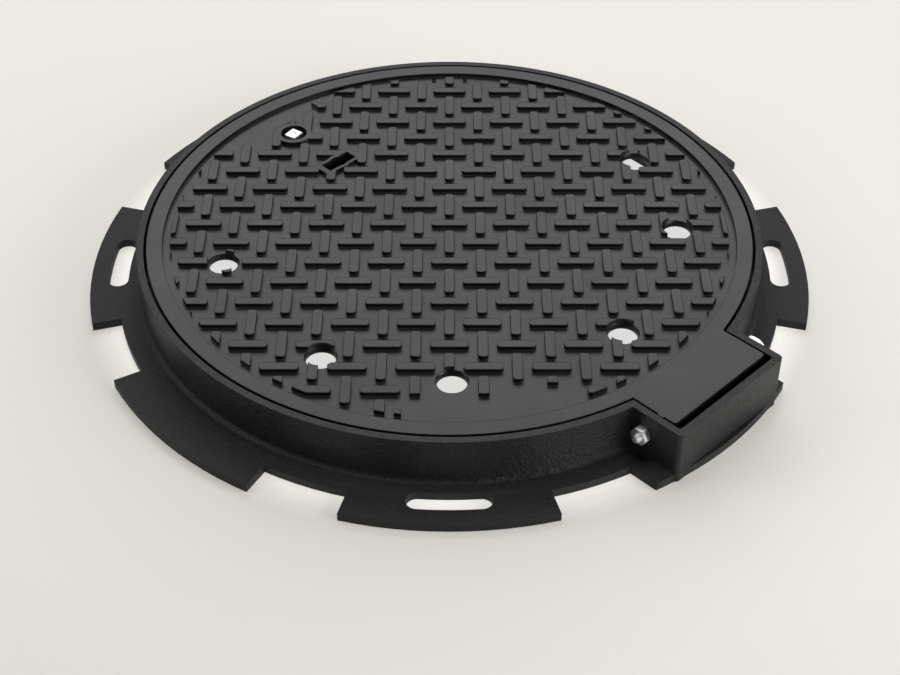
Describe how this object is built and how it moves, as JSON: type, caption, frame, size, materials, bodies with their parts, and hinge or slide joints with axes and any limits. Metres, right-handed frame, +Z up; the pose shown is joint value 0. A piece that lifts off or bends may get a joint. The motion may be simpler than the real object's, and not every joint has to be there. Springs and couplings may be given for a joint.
{
  "type": "manhole cover",
  "caption": "Round hinged manhole cover with tread bars, vents, a lifting slot and a cam lock, set flush in a flanged round frame with a hinge box and slotted anchor tabs.",
  "frame": {"origin": "centre of the circle at the bed of the frame, the bottom centre of the part's box", "axes": "+Z up out of the ground; +X and +Y as the picture's right and back; the hinge lies at 315 degrees from +X towards +Y, to the front right"},
  "size_m": [0.768, 0.768, 0.06],
  "materials": {
    "cast_iron": "black bituminous paint on sand-cast iron, satin",
    "zinc": "bright zinc plate",
    "rubber": "matt"
  },
  "bodies": {
    "base": {"frame": "cast_iron", "seat_gasket": "rubber", "hinge_bolt": "zinc", "hinge_nut": "zinc"},
    "lid": {"cover": "cast_iron", "lock_seal": "rubber"},
    "lock": {"lock_spindle": "zinc", "lock_cam": "zinc", "lock_washer": "zinc", "lock_nut": "zinc"}
  },
  "joints": [
    {"name": "cover_hinge", "type": "hinge", "parent": "base", "child": "lid", "pos_m": [0.23723, -0.23723, 0.0362], "axis": [0.7071, 0.7071, 0], "range_deg": [0, 90]},
    {"name": "lock_turn", "type": "hinge", "parent": "lid", "child": "lock", "pos_m": [-0.17805, 0.1755, 0.03], "axis": [0, 0, 1], "range_deg": [0, 90]}
  ]
}
